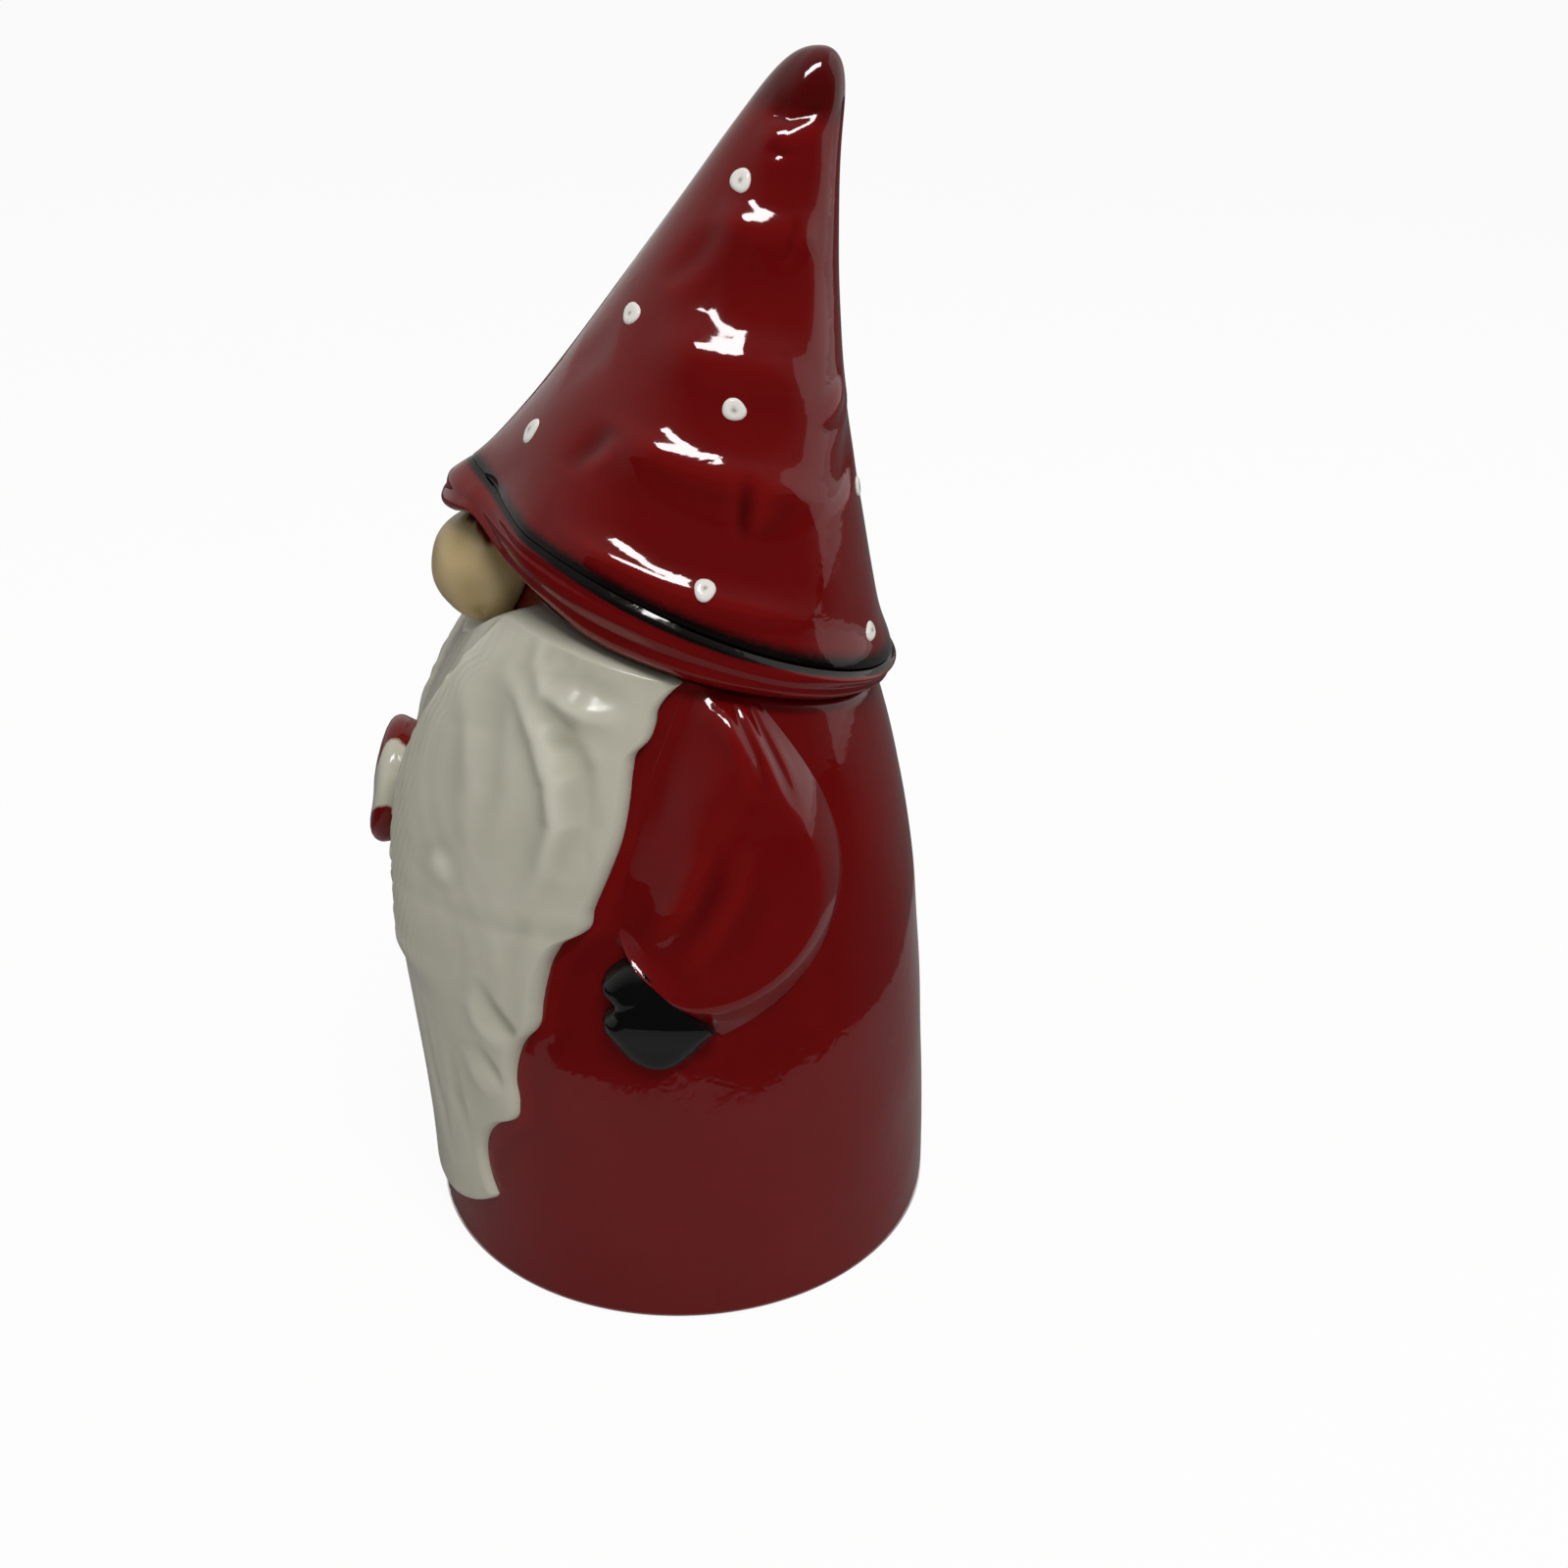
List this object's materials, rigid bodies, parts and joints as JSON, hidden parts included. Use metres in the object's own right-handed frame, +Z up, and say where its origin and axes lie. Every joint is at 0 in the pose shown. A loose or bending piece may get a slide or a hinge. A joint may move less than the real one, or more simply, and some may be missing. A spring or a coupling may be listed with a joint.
{
  "type": "gnome cookie jar",
  "caption": "Glazed ceramic jar shaped as a bearded gnome with its hands at its sides; the tall pointed hat is a loose lid that lifts off the tilted mouth.",
  "frame": {"origin": "middle of the bounding box's underside, on the table under the jar, 5 mm in front of the jar's axis", "axes": "+Z up, -Y the way the gnome faces, +X the gnome's left side"},
  "size_m": [0.1348, 0.1432, 0.2863],
  "materials": {
    "red_glaze": "gloss",
    "white_glaze": "gloss",
    "tan_glaze": "satin",
    "black_glaze": "gloss",
    "white_enamel": "gloss"
  },
  "bodies": {
    "jar": {"jar_body": "red_glaze", "beard": "white_glaze", "left_sleeve": "red_glaze", "right_sleeve": "red_glaze", "left_mitten": "black_glaze", "right_mitten": "black_glaze", "peppermint_candy": "white_glaze"},
    "lid": {"hat_shell": "red_glaze", "hat_brim": "red_glaze", "lid_collar": "red_glaze", "nose": "tan_glaze", "hat_dot_01": "white_enamel", "hat_dot_02": "white_enamel", "hat_dot_03": "white_enamel", "hat_dot_04": "white_enamel", "hat_dot_05": "white_enamel", "hat_dot_06": "white_enamel", "hat_dot_07": "white_enamel", "hat_dot_08": "white_enamel", "hat_dot_09": "white_enamel", "hat_dot_10": "white_enamel", "hat_dot_11": "white_enamel", "hat_dot_12": "white_enamel", "hat_dot_13": "white_enamel"}
  },
  "joints": [
    {"name": "lid_lift", "type": "slide", "parent": "jar", "child": "lid", "axis": [0, 0, 1], "range_m": [0, 0.1]}
  ]
}
